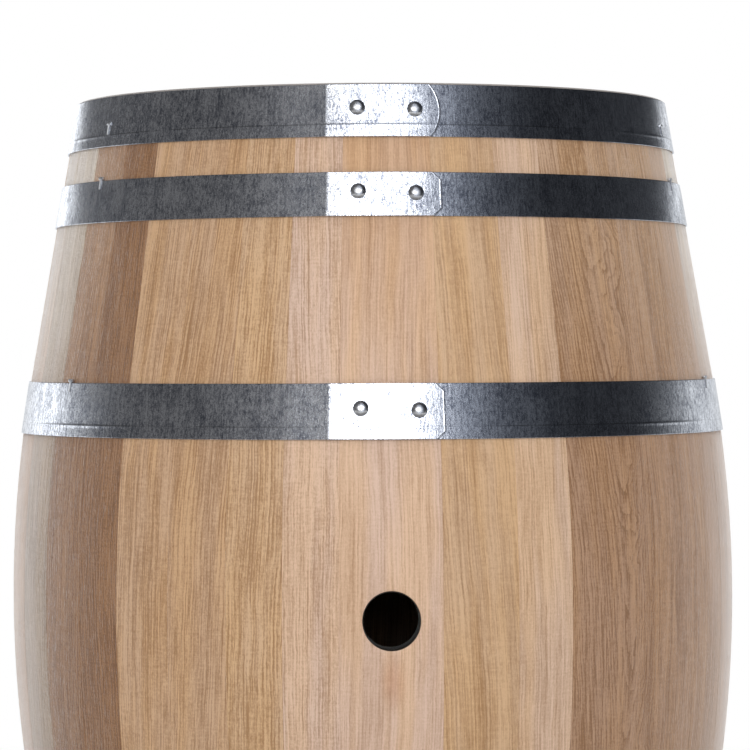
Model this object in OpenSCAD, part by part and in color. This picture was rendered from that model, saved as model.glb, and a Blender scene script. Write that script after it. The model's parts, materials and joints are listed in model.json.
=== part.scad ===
// Oak cask that stands on end: bent staves, two heads held in a groove,
// six riveted steel hoops and an open bung hole in the middle of a wide stave.
// Millimetres, +Z up. The bung hole looks along -Y and the stave ends stand on z = 0.

/* [Cask] */
// Length over the stave ends
cask_length = 950; // [900:5:1000]
// Diameter over the wood at the middle
bilge_d = 700; // [680:2:720]
// Diameter over the wood at each end
end_d = 570; // [560:2:590]
// Radius of the long bend of the staves about the middle
bend_r = 1200; // [1000:10:1300]
// Thickness of the staves
stave_t = 27; // [24:1:32]
// Diameter of the bung hole
bung_d = 50; // [40:1:60]

/* [Stave ends] */
// Depth of a head's outside face below the stave ends
head_depth = 38; // [32:1:45]
// Depth of the croze, the groove that holds a head
croze_depth = 5; // [4:0.5:7]
// Width of the croze
croze_w = 5; // [4:0.5:7]
// How far the inside bevel reaches across a stave end
chime_bevel = 12; // [6:1:14]
// How far the inside bevel reaches down the stave
chime_bevel_length = 16; // [10:1:22]

/* [Heads] */
// Thickness of the head boards
head_t = 22; // [18:1:26]
// Width of the bevel along a head's rim
head_bevel = 20; // [14:1:28]
// Gap on each side of a head in its croze
croze_gap = 0.1; // [0.05:0.05:0.3]
// Diameter of the dowels between head boards
dowel_d = 8; // [6:1:10]
// Length of the dowels
dowel_length = 50; // [30:2:56]
// Distance between the two dowels of a joint
dowel_spread = 180; // [120:10:220]

/* [Hoops] */
// Thickness of the hoop steel
hoop_t = 1.6; // [1.2:0.1:2.4]
// Gap between a hoop and the wood
hoop_gap = 0.05; // [0.05:0.05:0.2]
// Width of the head hoops
head_hoop_w = 48; // [40:1:60]
// Distance of a head hoop from the stave ends
head_hoop_in = 1; // [1:0.5:4]
// Width of the quarter hoops
quarter_hoop_w = 40; // [32:1:50]
// Distance of a quarter hoop from the stave ends
quarter_hoop_in = 80; // [75:1:95]
// Width of the bilge hoops
bilge_hoop_w = 50; // [40:1:60]
// Distance of a bilge hoop from the stave ends
bilge_hoop_in = 267; // [240:1:290]

/* [Laps and rivets] */
// Distance between the two rivets of a lap
rivet_pitch = 51; // [40:1:60]
// How far the strip's hidden end reaches past the left rivet
lap_before = 27; // [18:1:35]
// How far the strip's outer end reaches past the right rivet
lap_after = 22; // [18:1:30]
// Length over which the outer strip climbs onto the hidden end
lap_ramp = 8; // [4:1:14]
// How much narrower the lapped end is at each edge
lap_trim = 0.4; // [0.2:0.1:1]
// Size of the clipped corners of the outer end
lap_clip = 7; // [3:1:10]
// Radius of the rounded outer end on a head hoop
lap_round = 38; // [32:1:60]
// Diameter of a rivet head
rivet_head_d = 14; // [11:0.5:16]
// Height of a rivet head
rivet_head_h = 3.6; // [2.5:0.1:4.5]
// Diameter of a rivet's shank
rivet_d = 6; // [4:0.5:7]
// How far the left rivet sits above the hoop's middle
left_rivet_rise = 2.2; // [0:0.1:4]
// How far the right rivet sits above the hoop's middle
right_rivet_rise = 0.5; // [0:0.1:4]

/* [Hoop nails] */
// Width of a nail's tongue
nail_w = 3.4; // [2.4:0.2:5]
// Length of the tongue that lies over the hoop
nail_tongue = 9; // [6:0.5:12]
// Width of a nail's head across the tongue
nail_head_w = 7; // [5.4:0.2:9]
// Height of that head
nail_head_h = 2.6; // [2.6:0.1:4]
// Thickness of the nail's metal on the hoop
nail_t = 1.2; // [0.8:0.1:2]
// Diameter of the spike
spike_d = 2.4; // [1.8:0.1:2.6]
// Length of the spike in the wood
spike_length = 14; // [8:1:18]
// How far below a head hoop's upper edge its nails sit
head_nail_in = 27; // [20:1:30]

/* [Hidden] */
// Widths of the staves at the middle, from the bung stave counterclockwise from above.
// They are shares of the girth, so any set of widths closes.
stave_widths = [
  92, 70, 54, 101, 72, 65,
  68, 75, 58, 82, 70, 64, 88, 72, 60, 77, 69, 55, 93, 74, 66, 71, 80, 62, 63,
  62, 61, 52, 60, 59, 53, 51
];
// Widths of the boards of a head, from -X to +X, as shares of its diameter
board_widths = [80, 74, 78, 84, 72, 76, 79];
// Where the nails of a hoop sit, in degrees from the bung hole
nail_turns = [-59, 68, 184];
// Each hoop: name, distance from the stave ends, width, and whether its lapped end is rounded
hoops = [
  ["head_hoop", head_hoop_in, head_hoop_w, true],
  ["quarter_hoop", quarter_hoop_in, quarter_hoop_w, false],
  ["bilge_hoop", bilge_hoop_in, bilge_hoop_w, false]
];
ends = ["top", "bottom"];

eps = 0.01;
past = 5;             // how far a cutting shape runs past what it cuts
lap_sink = 0.3;       // how deep the lapped end is set into the ring below it
nail_lift = 0.2;      // gap between a nail's head and the hoop's edge
rivet_rim = 0.5;      // height of the straight rim under a rivet's dome
dowel_room = 1;       // spare depth at each end of a dowel's hole
bend_steps = 24;      // samples used to find how far the bend rises over a hoop's chord

half = cask_length/2;
bend_centre = bilge_d/2 - bend_r;
end_reach = end_d/2 - bend_centre;
taper = atan2(half, end_reach) - acos(bend_r/sqrt(half*half + end_reach*end_reach));
head_middle = half - head_depth - head_t/2;
croze_r = side_r(head_middle, stave_t) + croze_depth;
head_r = croze_r - croze_gap;
rim_t = croze_w - 2*croze_gap;
dowel_bore = dowel_length/2 + dowel_room;

stave_count = len(stave_widths);
board_count = len(board_widths);

function stave_name(i) = i == 0 ? "bung_stave" : str("stave_", i < 9 ? "0" : "", i + 1);
function total(list, count, i = 0) = i >= count ? 0 : list[i] + total(list, count, i + 1);
function stave_turn(i) = 360*stave_widths[i]/total(stave_widths, stave_count);
function stave_start(i) =
  360*(total(stave_widths, i) - stave_widths[0]/2)/total(stave_widths, stave_count);
function board_edge(i) = head_r*(2*total(board_widths, i)/total(board_widths, board_count) - 1);

// Radius of the cask's side at height z from the middle, a given depth in from the outside
function side_r(z, depth) =
  let (r = bend_r - depth, bend_top = r*sin(taper))
  abs(z) < bend_top
    ? bend_centre + sqrt(r*r - z*z)
    : bend_centre + r*cos(taper) - (abs(z) - bend_top)*tan(taper);

// A hoop's edges, slope and radii. Its inner face is the straight line between its edges,
// lifted over the bend of the wood.
function edge_top(k) = half - hoops[k][1];
function edge_low(k) = edge_top(k) - hoops[k][2];
function hoop_middle(k) = (edge_top(k) + edge_low(k))/2;
function chord_r(k, z) =
  let (low = side_r(edge_low(k), 0), top = side_r(edge_top(k), 0))
  low + (top - low)*(z - edge_low(k))/hoops[k][2];
function lift(k) = hoop_gap + max([
  for (i = [0:bend_steps])
    let (z = edge_low(k) + hoops[k][2]*i/bend_steps) side_r(z, 0) - chord_r(k, z)
]);
function hoop_r(k, z) = chord_r(k, z) + lift(k);
function slope(k) = atan2(hoop_r(k, edge_low(k)) - hoop_r(k, edge_top(k)), hoops[k][2]);
function turn_of(k, length) = length/hoop_r(k, hoop_middle(k))*180/PI;

// Corners of a strip on a hoop, between two distances out from its inner face
function strip(k, from, to, trim) =
  let (
    out = [cos(slope(k)), sin(slope(k))],
    up = [-sin(slope(k)), cos(slope(k))],
    low = [hoop_r(k, edge_low(k)), edge_low(k)] + up*trim,
    top = [hoop_r(k, edge_top(k)), edge_top(k)] - up*trim
  )
  [low + out*from, low + out*to, top + out*to, top + out*from];

// Turns from the bung hole's side by an angle, in the plane seen from above
module facing(turn) rotate([0, 0, turn - 90]) children();

// Places children on a hoop's inner face: X out of the face, Y along the hoop, Z up its slope
module on_hoop(k, turn, z)
  facing(turn) translate([hoop_r(k, z), 0, z]) rotate([0, -slope(k), 0]) children();

// Half-section of a solid cask whose side lies a given depth inside the true one
module side_outline(depth, reach) {
  r = bend_r - depth;
  bend_top = r*sin(taper);
  intersection() {
    translate([bend_centre, 0]) circle(r = r, $fn = 720);
    translate([0, -bend_top]) square([bilge_d, 2*bend_top]);
  }
  polygon([
    [0, -reach],
    [side_r(reach, depth), -reach],
    [side_r(bend_top, depth), -bend_top],
    [side_r(bend_top, depth), bend_top],
    [side_r(reach, depth), reach],
    [0, reach]
  ]);
}

// What is cut from the inside of a stave near one end: the croze and the bevel
module end_cuts() {
  end_r = side_r(half, stave_t);
  translate([croze_r - croze_depth - past, head_middle - croze_w/2])
    square([croze_depth + past, croze_w]);
  polygon([
    [end_r - past, half - chime_bevel_length],
    [side_r(half - chime_bevel_length, stave_t), half - chime_bevel_length],
    [end_r + chime_bevel, half],
    [end_r + chime_bevel, half + past],
    [end_r - past, half + past]
  ]);
}

module stave_section() {
  difference() {
    side_outline(0, half);
    side_outline(stave_t, half + past);
    for (side = [0, 1]) mirror([0, side]) end_cuts();
  }
}

module bung_hole()
  facing(0) rotate([0, 90, 0]) translate([0, 0, bilge_d/2 - stave_t - past*4])
    cylinder(d = bung_d, h = stave_t + past*5, $fn = 96);

// The spikes of all nails that reach into one stave
module spikes_in(i) {
  for (turn = nail_turns) {
    from_start = (turn - stave_start(i) + 720) % 360;
    margin = turn_of(0, spike_d);
    if (from_start < stave_turn(i) + margin || from_start > 360 - margin)
      for (k = [0:len(hoops) - 1], side = [0, 1])
        mirror([0, 0, side]) at_nail(k, turn) spike();
  }
}

module stave(i)
  color(i % 3 == 0 ? "BurlyWood" : i % 3 == 1 ? "Tan" : "Wheat")
    difference() {
      facing(stave_start(i)) rotate_extrude(angle = stave_turn(i), $fn = 360) stave_section();
      if (i == 0) bung_hole();
      spikes_in(i);
    }

// A shape that the lapped end of hoop k is cut to, flat, with the end at x = 0
module lap_outline(k) {
  height = hoops[k][2] + past;
  reach = 2*(rivet_pitch + lap_before + lap_after);
  if (hoops[k][3])
    intersection() {
      translate([-reach, -height/2]) square([reach, height]);
      union() {
        translate([-lap_round, 0]) circle(r = lap_round, $fn = 180);
        translate([-reach, -height/2]) square([reach - lap_round, height]);
      }
    }
  else
    polygon([
      [-reach, -height/2],
      [-lap_clip - past/2, -height/2],
      [0, lap_clip - hoops[k][2]/2],
      [0, hoops[k][2]/2 - lap_clip],
      [-lap_clip - past/2, height/2],
      [-reach, height/2]
    ]);
}

// The outer end of the strip, which lies over its hidden end
module lap(k) {
  from = -turn_of(k, rivet_pitch/2 + lap_before);
  to = turn_of(k, rivet_pitch/2 + lap_after);
  difference() {
    intersection() {
      facing(from) rotate_extrude(angle = to - from, $fn = 360)
        polygon(strip(k, hoop_t - lap_sink, 2*hoop_t, lap_trim));
      on_hoop(k, to, hoop_middle(k)) rotate([90, 0, 90]) translate([0, 0, -hoops[k][2]])
        linear_extrude(2*hoops[k][2]) lap_outline(k);
    }
    on_hoop(k, from, hoop_middle(k)) translate([hoop_t - lap_sink/2, 0, 0])
      rotate([0, 0, -atan2(hoop_t, lap_ramp)]) translate([0, -past*4, -hoops[k][2]])
        cube([past*2, past*4 + lap_ramp*2, 2*hoops[k][2]]);
  }
}

module at_rivets(k)
  for (side = [-1, 1])
    on_hoop(k, side*turn_of(k, rivet_pitch/2), hoop_middle(k))
      translate([0, 0, side < 0 ? left_rivet_rise : right_rivet_rise])
        rotate([0, 90, 0]) children();

module at_nail(k, turn)
  on_hoop(k, turn, edge_top(k)) translate([0, 0, k == 0 ? -head_nail_in : nail_lift + nail_head_h/2])
    children();

// One hoop of the upper half
module hoop(k)
  color("LightSteelBlue")
    difference() {
      union() {
        rotate_extrude($fn = 360) polygon(strip(k, 0, hoop_t, 0));
        lap(k);
      }
      at_rivets(k) translate([0, 0, -past]) cylinder(d = rivet_d, h = past*2 + 2*hoop_t, $fn = 48);
      if (k == 0)
        for (turn = nail_turns) at_nail(k, turn) spike();
    }

module rivet() {
  dome_h = rivet_head_h - rivet_rim;
  dome_r = (dome_h*dome_h + rivet_head_d*rivet_head_d/4)/(2*dome_h);
  translate([0, 0, hoop_gap]) cylinder(d = rivet_d, h = 2*hoop_t, $fn = 48);
  translate([0, 0, 2*hoop_t]) rotate_extrude($fn = 96) {
    square([rivet_head_d/2, rivet_rim]);
    intersection() {
      translate([0, rivet_head_h - dome_r]) circle(r = dome_r, $fn = 360);
      translate([0, rivet_rim]) square([rivet_head_d/2, rivet_head_h]);
    }
  }
}

module hoop_rivets()
  color("Silver")
    for (side = [0, 1], k = [0:len(hoops) - 1])
      mirror([0, 0, side]) at_rivets(k) rivet();

module spike()
  translate([-spike_length, 0, 0]) rotate([0, 90, 0])
    cylinder(d = spike_d, h = spike_length + hoop_t + nail_t/2, $fn = 24);

// A nail: a spike in the wood, a head across it, and a tongue that lies over the hoop
module nail(k) {
  foot = k == 0 ? hoop_t : 0;
  spike();
  translate([foot, -nail_head_w/2, -nail_head_h/2])
    cube([hoop_t + nail_t - foot, nail_head_w, nail_head_h]);
  translate([hoop_t, -nail_w/2, -nail_head_h/2 - nail_lift - nail_tongue])
    cube([nail_t, nail_w, nail_tongue + nail_lift + nail_head_h - eps]);
}

module hoop_nails()
  color("Gray")
    for (side = [0, 1], k = [0:len(hoops) - 1], turn = nail_turns)
      mirror([0, 0, side]) at_nail(k, turn) nail(k);

// A whole head, before it is parted into boards, centred on its own thickness
module head_disc() {
  flat_r = croze_r - croze_depth - croze_gap;
  rotate_extrude($fn = 360) polygon([
    [0, -head_t/2],
    [flat_r - head_bevel, -head_t/2],
    [flat_r, -rim_t/2],
    [head_r, -rim_t/2],
    [head_r, rim_t/2],
    [flat_r, rim_t/2],
    [flat_r - head_bevel, head_t/2],
    [0, head_t/2]
  ]);
}

// Places children at both dowels of each joint from one board edge to another, along X
module at_dowels(first, last)
  for (i = [first:last], side = [-1, 1])
    if (i > 0 && i < board_count)
      translate([board_edge(i), side*dowel_spread/2, 0]) rotate([0, 90, 0]) children();

module head_board(i)
  color(i % 2 == 0 ? "Wheat" : "BurlyWood")
    difference() {
      intersection() {
        head_disc();
        translate([board_edge(i - 1), -head_r - past, -head_t])
          cube([board_edge(i) - board_edge(i - 1), 2*(head_r + past), 2*head_t]);
      }
      at_dowels(i - 1, i) cylinder(d = dowel_d, h = 2*dowel_bore, center = true, $fn = 48);
    }

module head_dowels()
  color("Peru") at_dowels(1, board_count - 1)
    cylinder(d = dowel_d, h = dowel_length, center = true, $fn = 48);

// Lifts the cask onto its stave ends; side 1 turns an upper piece into its lower twin
module standing(side = 0) translate([0, 0, half]) mirror([0, 0, side]) children();

for (i = [0:stave_count - 1])
  standing() stave(i);
for (side = [0, 1]) {
  for (k = [0:len(hoops) - 1])
    standing(side) hoop(k);
  for (i = [1:board_count])
    standing(side) translate([0, 0, head_middle]) head_board(i);
  standing(side) translate([0, 0, head_middle]) head_dowels();
}
standing() hoop_rivets();
standing() hoop_nails();
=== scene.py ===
# %% [markdown]
# # An oak cask, stave by stave
# A cask is a tight shell of bent staves with no glue in it. Steel hoops driven on from both ends press the staves
# together, and a flat head of boards sits in a groove near each end. This lesson dresses the exact model of such a
# cask: it rebuilds each piece with finer edges and its own surface, at the place that the exact model gives it.

# %% The exact model
import json
import math
import random

import bpy
import bmesh
from mathutils import Matrix, Vector

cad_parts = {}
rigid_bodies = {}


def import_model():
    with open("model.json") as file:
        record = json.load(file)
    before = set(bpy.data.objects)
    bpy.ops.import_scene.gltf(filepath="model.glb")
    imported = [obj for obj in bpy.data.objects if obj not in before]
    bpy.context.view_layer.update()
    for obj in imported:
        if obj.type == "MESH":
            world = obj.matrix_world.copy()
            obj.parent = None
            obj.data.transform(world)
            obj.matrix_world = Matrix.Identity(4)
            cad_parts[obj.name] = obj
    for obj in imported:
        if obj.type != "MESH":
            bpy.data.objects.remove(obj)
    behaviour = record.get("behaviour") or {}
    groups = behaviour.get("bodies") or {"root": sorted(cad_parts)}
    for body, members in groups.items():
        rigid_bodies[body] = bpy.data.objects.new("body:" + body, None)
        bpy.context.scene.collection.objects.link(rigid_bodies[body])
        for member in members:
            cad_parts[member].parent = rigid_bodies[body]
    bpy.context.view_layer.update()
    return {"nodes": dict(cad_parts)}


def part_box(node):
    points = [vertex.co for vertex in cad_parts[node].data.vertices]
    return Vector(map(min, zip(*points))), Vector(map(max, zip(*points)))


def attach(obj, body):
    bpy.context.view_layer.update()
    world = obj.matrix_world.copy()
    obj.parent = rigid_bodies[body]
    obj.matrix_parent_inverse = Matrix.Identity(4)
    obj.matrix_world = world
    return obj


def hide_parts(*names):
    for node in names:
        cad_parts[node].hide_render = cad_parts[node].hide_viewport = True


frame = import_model()
nodes = frame["nodes"]

# %% [markdown]
# ## The line of the side
# Every piece follows the side of the cask: a long bend about the middle that runs on into a straight line to each
# end. One function gives that line, so the staves, hoops, rivets and grain all agree with it.

# %% The side
HALF = 0.475
BILGE_R, END_R, BEND_R = 0.350, 0.285, 1.200
STAVE_T = 0.027
BEND_CENTRE = BILGE_R - BEND_R
TAPER = math.atan2(HALF, END_R - BEND_CENTRE) - math.acos(BEND_R / math.hypot(HALF, END_R - BEND_CENTRE))


def side_r(z, depth=0.0):
    """Radius at height z from the middle, a given depth in from the outside."""
    r = BEND_R - depth
    bend_top = r * math.sin(TAPER)
    if abs(z) < bend_top:
        return BEND_CENTRE + math.sqrt(r * r - z * z)
    return BEND_CENTRE + r * math.cos(TAPER) - (abs(z) - bend_top) * math.tan(TAPER)


print("slope of the ends:", round(math.degrees(TAPER), 3), "degrees")

# %% [markdown]
# ## Maths as expressions
# Node trees do arithmetic with one node for each step, which is hard to read. A small class wraps a socket and turns
# the Python operators into those nodes, for materials and for Geometry Nodes alike. Every other node comes from one
# method, which sets the node's options first and then its sockets.

# %% A value in a node tree
class Value:
    """An output socket that adds Math or Vector Math nodes when it is calculated with."""

    def __init__(self, tree, socket):
        self.tree, self.socket = tree, socket

    def math(self, operation, *others):
        return self.tree.math(operation, self, *others)

    def held(self):
        """The value, held between 0 and 1."""
        return self.math("MAXIMUM", 0.0).math("MINIMUM", 1.0)

    def __getattr__(self, axis):
        if axis in ("x", "y", "z"):
            return self.tree.add("ShaderNodeSeparateXYZ", {0: self}, out=("x", "y", "z").index(axis))
        raise AttributeError(axis)

    @property
    def is_vector(self):
        return self.socket.type in ("VECTOR", "RGBA")


def operator(operation, reflected=False):
    def calculate(self, other):
        return self.tree.combine(operation, *((other, self) if reflected else (self, other)))

    return calculate


for sign, operation in {"add": "ADD", "sub": "SUBTRACT", "mul": "MULTIPLY", "truediv": "DIVIDE"}.items():
    setattr(Value, f"__{sign}__", operator(operation))
    setattr(Value, f"__r{sign}__", operator(operation, reflected=True))


# %% A tree that is written in Python
class Tree:
    """Adds nodes to a material's or a modifier's tree."""

    def __init__(self, tree):
        self.tree = tree

    def add(self, kind, values=None, out=0, **settings):
        node = self.tree.nodes.new(kind)
        for key, value in settings.items():
            setattr(node, key, value)
        for key, value in (values or {}).items():
            self.feed(node.inputs[key], value)
        return Value(self, node.outputs[out])

    def feed(self, socket, value):
        if isinstance(value, Value):
            self.tree.links.new(value.socket, socket)
        elif socket.type == "RGBA" and len(value) == 3:
            socket.default_value = (*value, 1.0)
        else:
            socket.default_value = value

    def math(self, operation, *values):
        return self.add("ShaderNodeMath", dict(enumerate(values)), operation=operation)

    def combine(self, operation, a, b):
        if any(isinstance(v, Value) and v.is_vector or isinstance(v, tuple) for v in (a, b)):
            if operation == "MULTIPLY" and isinstance(b, (int, float)):
                return self.add("ShaderNodeVectorMath", {0: a, "Scale": b}, operation="SCALE")
            return self.add("ShaderNodeVectorMath", {0: a, 1: b}, operation=operation)
        return self.math(operation, a, b)

    def vector(self, x, y, z):
        return self.add("ShaderNodeCombineXYZ", {0: x, 1: y, 2: z})

    def step(self, value, low, high):
        """0 below low, 1 above high, and smooth between them."""
        values = {0: value, 1: low, 2: high, 3: 0.0, 4: 1.0}
        return self.add("ShaderNodeMapRange", values, interpolation_type="SMOOTHSTEP")

    def noise(self, place, scale=1.0, detail=2.0, roughness=0.5):
        values = {"Vector": place, "Scale": scale, "Detail": detail, "Roughness": roughness}
        return self.add("ShaderNodeTexNoise", values)

    def mix(self, share, a, b):
        """Mixes two colours: all a at a share of 0, and all b at 1."""
        return self.add("ShaderNodeMix", {0: share, 6: a, 7: b}, out=2, data_type="RGBA")


# %% A tree for a modifier
KINDS = {float: "NodeSocketFloat", int: "NodeSocketInt", str: "NodeSocketObject"}


class GeometryTree(Tree):
    """A Geometry Nodes tree with named inputs."""

    def __init__(self, name, **inputs):
        super().__init__(bpy.data.node_groups.new(name, "GeometryNodeTree"))
        face = self.tree.interface
        face.new_socket(name="Geometry", in_out="INPUT", socket_type="NodeSocketGeometry")
        face.new_socket(name="Geometry", in_out="OUTPUT", socket_type="NodeSocketGeometry")
        self.ids = {}
        for key, value in inputs.items():
            socket = face.new_socket(name=key, in_out="INPUT", socket_type=KINDS[type(value)])
            if not isinstance(value, str):
                socket.default_value = value
            self.ids[key] = socket.identifier
        self.group = self.tree.nodes.new("NodeGroupInput")

    def __getitem__(self, name):
        return Value(self, self.group.outputs[name])

    def join(self, *parts):
        node = self.tree.nodes.new("GeometryNodeJoinGeometry")
        for part in parts:
            self.tree.links.new(part.socket, node.inputs[0])
        return Value(self, node.outputs[0])

    def end(self, geometry, material):
        """Ends the tree in Realize Instances and Set Material."""
        real = self.add("GeometryNodeRealizeInstances", {0: geometry})
        done = self.add("GeometryNodeSetMaterial", {"Geometry": real, "Material": material})
        out = self.tree.nodes.new("NodeGroupOutput")
        self.tree.links.new(done.socket, out.inputs[0])


# %% [markdown]
# ## From a tree to a plain piece
# A piece starts as a small source mesh with a modifier that runs the tree. Once its sizes are set, the result is
# taken as a plain mesh, because a plain mesh is what other programs can read. Another helper hides the exact pieces
# that the new one stands for and hangs it on the cask's body.

# %% Making a piece
def linked(name, mesh):
    piece = bpy.data.objects.new(name, mesh)
    bpy.context.scene.collection.objects.link(piece)
    return piece


def mesh_of(name, points, faces=()):
    mesh = bpy.data.meshes.new(name)
    mesh.from_pydata(points, [], faces)
    return mesh


def shaped(piece, tree, sizes):
    """Adds the tree to a piece, with its inputs set by their identifiers."""
    modifier = piece.modifiers.new("shape", "NODES")
    modifier.node_group = tree.tree
    for key, value in sizes.items():
        modifier[tree.ids[key]] = value
    return piece


# %% Finishing a piece
def softened(piece, width, segments=1):
    """Breaks the sharp edges, as a plane or a file does."""
    modifier = piece.modifiers.new("edges", "BEVEL")
    modifier.limit_method, modifier.angle_limit = "ANGLE", math.radians(30)
    modifier.width, modifier.segments = width, segments
    modifier.use_clamp_overlap = False
    return piece


def plain(piece, sharp=28):
    """Replaces the modifiers by their result, shaded smooth up to an angle."""
    depsgraph = bpy.context.evaluated_depsgraph_get()
    mesh = bpy.data.meshes.new_from_object(
        piece.evaluated_get(depsgraph), preserve_all_data_layers=True, depsgraph=depsgraph
    )
    piece.modifiers.clear()
    piece.data = mesh
    mesh.name = piece.name
    mesh.shade_smooth()
    mesh.set_sharp_from_angle(angle=math.radians(sharp))
    return piece


def covered(piece, finish):
    """Gives the whole piece one material."""
    piece.data.materials.clear()
    piece.data.materials.append(finish)
    piece.data.polygons.foreach_set("material_index", [0] * len(piece.data.polygons))
    return piece


# %% Handing a piece over
def stands_for(piece, slot, *names):
    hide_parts(*names)
    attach(piece, "root")
    return piece


def paint_points(piece, name, values):
    """Writes one number or vector for each point of a piece, for its material to read."""
    if isinstance(values[0], float):
        piece.data.attributes.new(name, "FLOAT", "POINT").data.foreach_set("value", values)
    else:
        vectors = piece.data.attributes.new(name, "FLOAT_VECTOR", "POINT")
        vectors.data.foreach_set("vector", [v for value in values for v in value])


# %% [markdown]
# ## Colours and finishes
# Colours are picked as a screen shows them and turned into the linear values that a shader works with. Every finish
# ends in one Principled shader, which renders and exports the same way.

# %% Colours as they look
def srgb(red, green, blue):
    """A colour from the 0 to 255 that a screen shows, as the linear values that a shader needs."""
    return tuple(((c / 255 + 0.055) / 1.055) ** 2.4 if c > 10 else c / 255 / 12.92 for c in (red, green, blue))


def material(name):
    made = bpy.data.materials.new(name)
    made.use_nodes = True
    made.node_tree.nodes.clear()
    return made, Tree(made.node_tree)


def surface(tree, **sockets):
    """Ends a material in one Principled shader."""
    shader = tree.add("ShaderNodeBsdfPrincipled", {key.replace("_", " "): value for key, value in sockets.items()})
    out = tree.tree.nodes.new("ShaderNodeOutputMaterial")
    tree.tree.links.new(shader.socket, out.inputs["Surface"])


# %% [markdown]
# ## Oak
# Staves are split or sawn so that the growth rings cross their thickness. Their faces then show close, slightly
# wandering lines, short dark pores, and in places pale flecks where the rays of the wood come to the surface. A board
# sawn the other way shows arches. The material works in the wood's own space, across, into and along the stave, so
# that the grain bends with the stave and runs on round its edges. Noise that is stretched a lot along the stave gives
# the fibres, and every layer of it is bent by the same slow sway. Each stave carries its tint, its own seed, a figure
# from 0, straight lines, to 1, arches, a slant of the grain, and how strongly the grain shows. The bare wood has a
# little fuzz on it, which catches the light at the sides of the cask: that is the shader's sheen.

# %% The wood's own space
def oak_space(t, ring):
    """Reads a piece's attributes and bends its space. ring is the width of a growth ring in metres."""
    grain = t.add("ShaderNodeAttribute", out=1, attribute_name="grain")
    wood = t.add("ShaderNodeAttribute", out=1, attribute_name="wood")
    seed, figure, slant = wood.x, wood.y, wood.z
    x, y, z = grain.x, grain.y, grain.z
    sway = t.noise(t.vector(x * 5 + seed, y * 5, z * 3.4), detail=1.0) - 0.5
    ripple = t.noise(t.vector(x * 30, y * 8 + seed, z * 19), detail=2.0) - 0.5
    across = x + slant * z + sway * 0.020 + ripple * 0.0046
    jitter = t.noise(t.vector(x * 520, y * 400 + seed, z * 150), detail=1.0) - 0.5
    crown = x - 0.012 + sway * 0.03 + ripple * 0.022
    arch = (crown * crown + 0.0004).math("SQRT") - 0.02 - z * 0.075 + ripple * 0.016
    distance = across * (1 - figure) + (arch + y * 0.4) * figure + y * 0.2 + jitter * 0.0016
    uneven = t.noise(t.vector(distance * 90, y * 4 + seed, z * 1.4), detail=1.0)
    turn = (distance / ring + uneven * 2.6).math("FRACT")
    return x, y, z, across, 1 - turn, seed, figure


# %% Fibres, pores, rays and growth lines
def oak_marks(t, space, cloud):
    """The fibres, how dark all small marks are, and how high the surface stands."""
    x, y, z, across, late, seed, figure = space
    early = late * late
    line = early * late
    fibre = t.noise(t.vector(across * 560 + seed, y * 400, z * 30), detail=3.0, roughness=0.7)
    hair = t.noise(t.vector(across * 640, y * 500 + seed, z * 10), detail=2.0, roughness=0.6)
    fuzz = t.noise(t.vector(x * 640, y * 620 + seed, z * 400), detail=2.0, roughness=0.7)
    scratch = t.noise(t.vector(x * 70, y * 70 + seed, z * 560), detail=2.0, roughness=0.6)
    pore = t.step(t.noise(t.vector(across * 900, y * 900, z * 70 + seed), detail=1.0), 0.58, 0.68)
    pore = pore * (0.25 + early * 0.75)
    rays = t.noise(t.vector(x * 95 + z * 20, y * 120 + seed, z * 420), detail=1.0)
    ray = t.step(rays, 0.56, 0.72) * t.step(cloud, 0.45, 0.62) * (1 - figure)
    broken = t.step(t.noise(t.vector(across * 150, y * 40 + seed, z * 14), detail=1.0), 0.36, 0.60)
    close = (fibre - 0.5) * 1.3 + (hair - 0.5) * 1.3 + (scratch - 0.5) * 0.40 + (fuzz - 0.5) * 0.9
    close = close + pore * 0.24 - ray * 0.10 + early * 0.10 + line * (broken * 0.44 + figure * 0.2)
    height = fibre + hair * 0.6 + fuzz * 0.8 + scratch * 0.5 - pore * 0.6 - early * 0.2
    return fibre, close, height


# %% The oak material
END_GREY = (0.36, 0.33, 0.31)  # the sawn ends of the staves, greyed by handling


def oak(name, ring=0.0033, finish=None, gloss=0.5, nap=0.9):
    """Oak with rings of a given width. finish may change its colour, and nap is its fuzz."""
    made, t = material(name)
    tint = t.add("ShaderNodeAttribute", out=1, attribute_name="tint")
    strength = t.add("ShaderNodeAttribute", out=2, attribute_name="strength")
    space = oak_space(t, ring)
    x, y, z, across, _, seed, _ = space
    cloud = t.noise(t.vector(x * 16, y * 8 + seed, z * 8), detail=2.0)
    fibre, close, height = oak_marks(t, space, cloud)
    streak = t.noise(t.vector(across * 190, y * 60 + seed, z * 6), detail=2.0)
    broad = t.noise(t.vector(across * 46 + seed, y * 12, z * 3), detail=2.0)
    dark = close * strength + (streak - 0.5) * 0.9 + (broad - 0.5) * 0.7
    dark = (dark + (cloud - 0.5) * 0.6 + 0.25).held()
    warm = t.step(t.noise(t.vector(across * 40, y * 9, z * 4 + seed), detail=2.0), 0.38, 0.62)
    hue = t.mix(warm, tint * (0.99, 1.0, 1.05), tint * (1.02, 0.99, 0.92))
    colour = t.mix(dark, hue * (1.18, 1.20, 1.22), hue * (0.68, 0.59, 0.48))
    ends = t.step(z.math("ABSOLUTE"), HALF - 0.0026, HALF - 0.0012) * t.step(0.004 - y, 0.0, 0.002)
    colour = t.mix(ends, colour, END_GREY)
    if finish:
        colour = finish(t, colour, cloud)
    normal = t.add("ShaderNodeBump", {"Strength": 0.50, "Distance": 0.0005, "Height": height * strength})
    surface(
        t, Base_Color=colour, Roughness=0.33 + fibre * 0.14, Normal=normal, Specular_IOR_Level=gloss,
        Sheen_Weight=nap, Sheen_Roughness=0.30,
    )
    return made


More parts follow.
